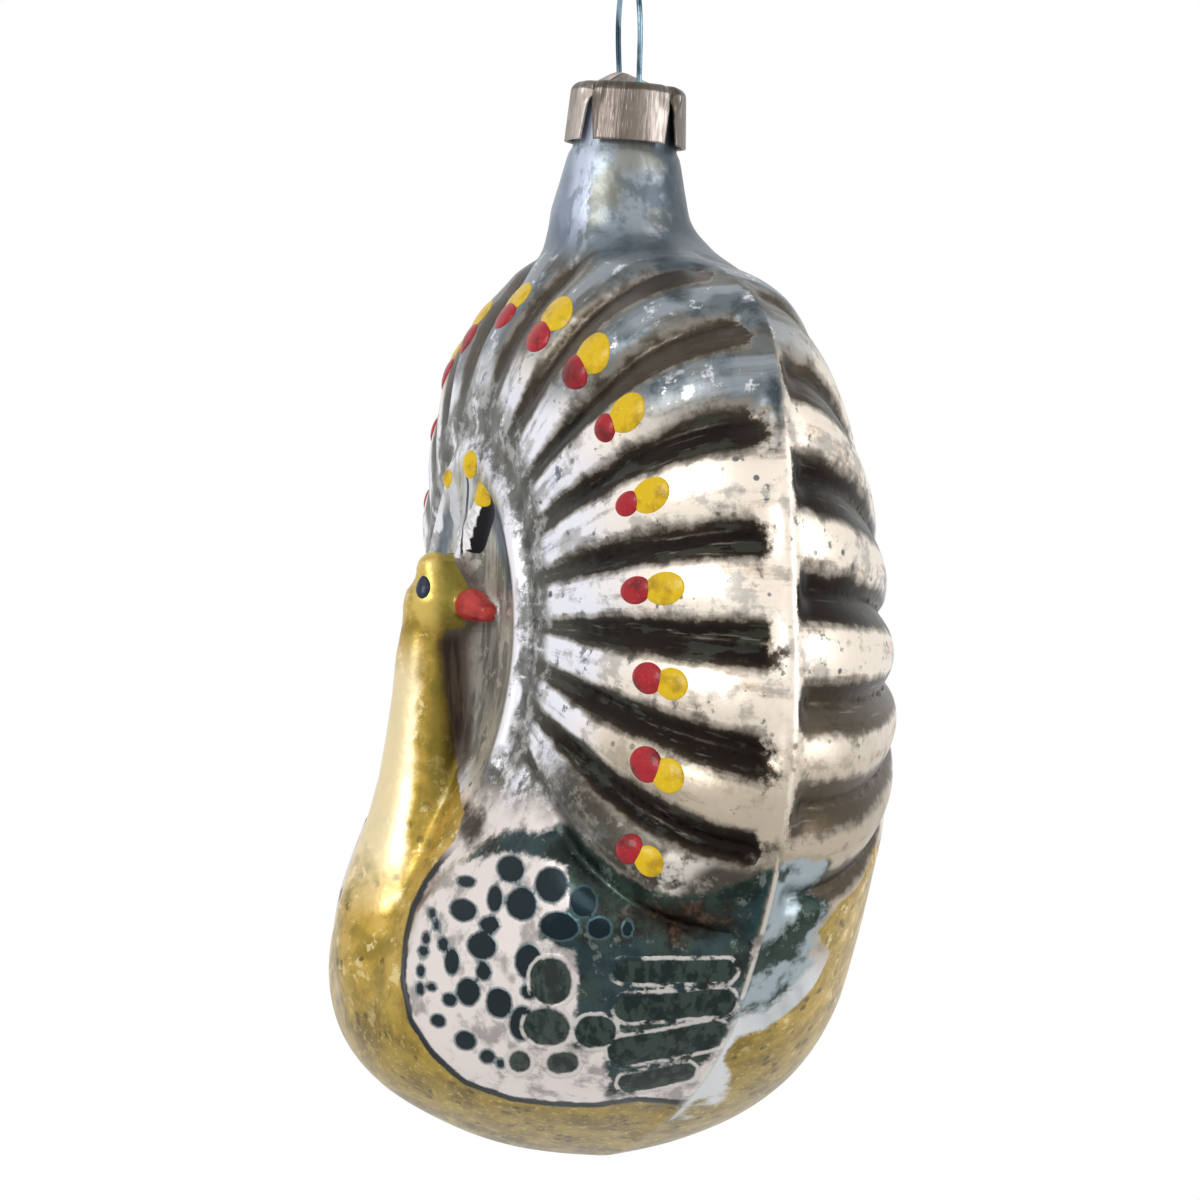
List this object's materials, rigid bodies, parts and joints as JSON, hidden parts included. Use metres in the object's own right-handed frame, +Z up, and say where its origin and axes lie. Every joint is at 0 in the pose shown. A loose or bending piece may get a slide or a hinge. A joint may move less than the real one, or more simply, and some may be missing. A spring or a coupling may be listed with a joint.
{
  "type": "hanging glass peacock ornament",
  "caption": "Mould-blown glass peacock ornament with a ribbed fan tail, a metal cap and a wire hanging loop.",
  "frame": {"origin": "hang point, inside the top of the wire loop", "axes": "+Z up, against the pull of the ornament's weight; -Y where the breast and the face of the fan point; +X where the beak points"},
  "size_m": [0.084, 0.0534, 0.1191],
  "materials": {
    "silvered_glass": "silvered from inside, tarnished, with gold, teal, yellow and red lacquer",
    "lacquer": "hand-dabbed glossy lacquer drops in yellow, red and blue-black",
    "cap_metal": "thin stamped metal, dulled",
    "wire_metal": "drawn spring wire"
  },
  "bodies": {
    "hanger": {"hanger_wire": "wire_metal"},
    "cap": {"cap": "cap_metal"},
    "glass": {"glass_body": "silvered_glass"}
  },
  "joints": [
    {"name": "loop_swing", "type": "hinge", "parent": "hanger", "child": "cap", "pos_m": [0, 0, -0.0115], "axis": [1, 0, 0], "range_deg": [-11, 19]},
    {"name": "neck_release", "type": "slide", "parent": "cap", "child": "glass", "axis": [0, -0.075, -0.9972], "range_m": [0, 0.012]}
  ]
}
